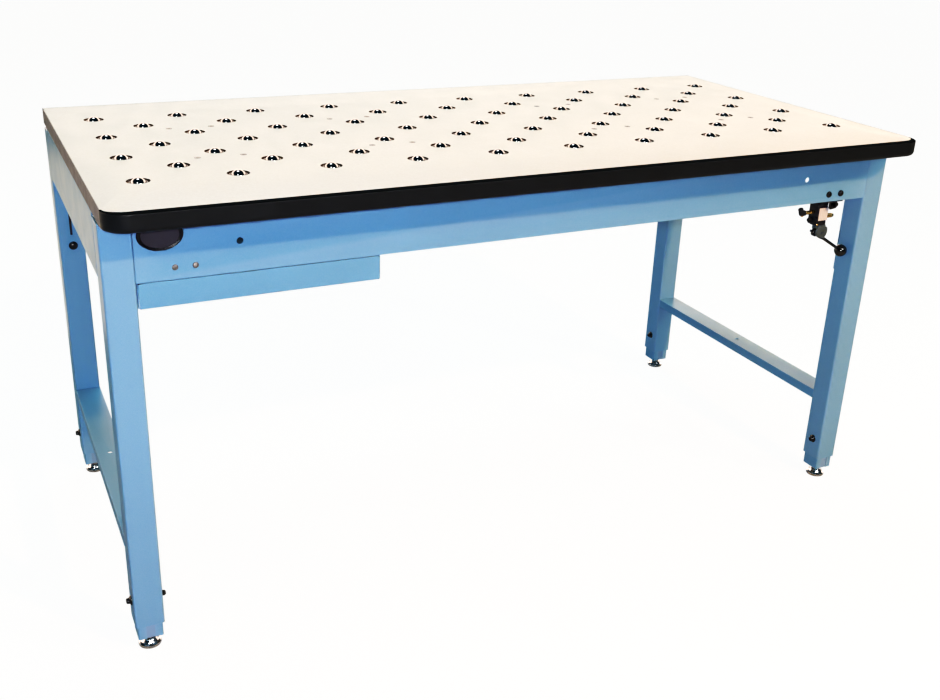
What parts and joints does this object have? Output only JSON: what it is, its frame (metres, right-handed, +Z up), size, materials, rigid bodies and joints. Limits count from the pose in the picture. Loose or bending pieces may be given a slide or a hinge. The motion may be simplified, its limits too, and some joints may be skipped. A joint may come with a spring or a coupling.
{
  "type": "workbench",
  "caption": "Height-adjustable workbench with a laminate top, rows of pop-up ball transfers, a hand air valve, a shallow drawer and levelling feet",
  "frame": {"origin": "on the floor, under the middle of the worktop", "axes": "+X along the bench towards the air valve, +Y from the front towards the rear, +Z up"},
  "size_m": [1.541, 0.762, 0.7915],
  "materials": {
    "laminate": "warm off-white laminate, low sheen",
    "black_plastic": "black moulded plastic, soft gloss",
    "edge_strip": "brown edge strip, satin",
    "blue_paint": "light blue powder coat, satin",
    "zinc_steel": "plain zinc-plated sheet steel",
    "ball_chrome": "polished hardened steel",
    "foot_chrome": "plated steel",
    "black_hardware": "black oxide, low sheen",
    "black_anodised": "black anodised block, satin",
    "grey_cast": "dark grey metal, satin",
    "brass": "machined brass"
  },
  "bodies": {
    "bench_frame": {"worktop": "laminate", "front_bumper": "black_plastic", "edge_band": "edge_strip", "front_apron": "blue_paint", "rear_apron": "blue_paint", "side_apron_left": "blue_paint", "side_apron_right": "blue_paint", "lower_brace_left": "blue_paint", "lower_brace_right": "blue_paint", "drawer_case": "blue_paint", "drawer_slide_left": "zinc_steel", "drawer_slide_right": "zinc_steel", "badge_plate": "black_plastic", "valve_bracket": "black_hardware", "valve_body": "black_anodised", "valve_bonnet": "grey_cast", "valve_inlet_stem": "brass", "valve_inlet_elbow": "black_plastic", "valve_outlet": "brass", "valve_bolt_1": "black_hardware", "valve_bolt_2": "black_hardware", "outer_leg_fl": "blue_paint", "leg_gusset_fl": "blue_paint", "leg_lock_bolt_fl": "black_hardware", "outer_leg_fr": "blue_paint", "leg_gusset_fr": "blue_paint", "leg_lock_bolt_fr": "black_hardware", "outer_leg_rl": "blue_paint", "leg_gusset_rl": "blue_paint", "leg_lock_bolt_rl": "black_hardware", "outer_leg_rr": "blue_paint", "leg_gusset_rr": "blue_paint", "leg_lock_bolt_rr": "black_hardware", "lift_cradle_1": "zinc_steel", "lift_cradle_2": "zinc_steel", "lift_cradle_3": "zinc_steel", "lift_cradle_4": "zinc_steel"},
    "drawer": {"drawer_tray": "zinc_steel", "drawer_front": "blue_paint"},
    "lift": {"ball_row_1": "ball_chrome", "ball_row_2": "ball_chrome", "ball_row_3": "ball_chrome", "ball_row_4": "ball_chrome", "ball_row_5": "ball_chrome", "ball_row_6": "ball_chrome", "ball_row_7": "ball_chrome", "lift_bar_1": "zinc_steel", "lift_bar_2": "zinc_steel", "lift_bar_3": "zinc_steel", "lift_bar_4": "zinc_steel"},
    "lever": {"valve_lever": "grey_cast", "valve_knob": "black_plastic"},
    "leg_extension_fl": {"inner_leg_fl": "blue_paint"},
    "glide_fl": {"leveling_foot_fl": "foot_chrome"},
    "leg_extension_fr": {"inner_leg_fr": "blue_paint"},
    "glide_fr": {"leveling_foot_fr": "foot_chrome"},
    "leg_extension_rl": {"inner_leg_rl": "blue_paint"},
    "glide_rl": {"leveling_foot_rl": "foot_chrome"},
    "leg_extension_rr": {"inner_leg_rr": "blue_paint"},
    "glide_rr": {"leveling_foot_rr": "foot_chrome"}
  },
  "joints": [
    {"name": "drawer_slide", "type": "slide", "parent": "bench_frame", "child": "drawer", "axis": [0, -1, 0], "range_m": [0, 0.25]},
    {"name": "ball_lift", "type": "slide", "parent": "bench_frame", "child": "lift", "axis": [0, 0, 1], "range_m": [-0.008, 0], "stiffness_N_per_m": 20000, "springref_m": 0.04},
    {"name": "valve_tilt", "type": "hinge", "parent": "bench_frame", "child": "lever", "pos_m": [0.6213, -0.2755, 0.5853], "axis": [0, 1, 0], "range_deg": [0, 50]},
    {"name": "leg_height_fl", "type": "slide", "parent": "bench_frame", "child": "leg_extension_fl", "axis": [0, 0, 1], "range_m": [-0.127, 0]},
    {"name": "glide_level_fl", "type": "slide", "parent": "leg_extension_fl", "child": "glide_fl", "axis": [0, 0, 1], "range_m": [-0.02, 0]},
    {"name": "leg_height_fr", "type": "slide", "parent": "bench_frame", "child": "leg_extension_fr", "axis": [0, 0, 1], "range_m": [-0.127, 0]},
    {"name": "glide_level_fr", "type": "slide", "parent": "leg_extension_fr", "child": "glide_fr", "axis": [0, 0, 1], "range_m": [-0.02, 0]},
    {"name": "leg_height_rl", "type": "slide", "parent": "bench_frame", "child": "leg_extension_rl", "axis": [0, 0, 1], "range_m": [-0.127, 0]},
    {"name": "glide_level_rl", "type": "slide", "parent": "leg_extension_rl", "child": "glide_rl", "axis": [0, 0, 1], "range_m": [-0.02, 0]},
    {"name": "leg_height_rr", "type": "slide", "parent": "bench_frame", "child": "leg_extension_rr", "axis": [0, 0, 1], "range_m": [-0.127, 0]},
    {"name": "glide_level_rr", "type": "slide", "parent": "leg_extension_rr", "child": "glide_rr", "axis": [0, 0, 1], "range_m": [-0.02, 0]}
  ]
}
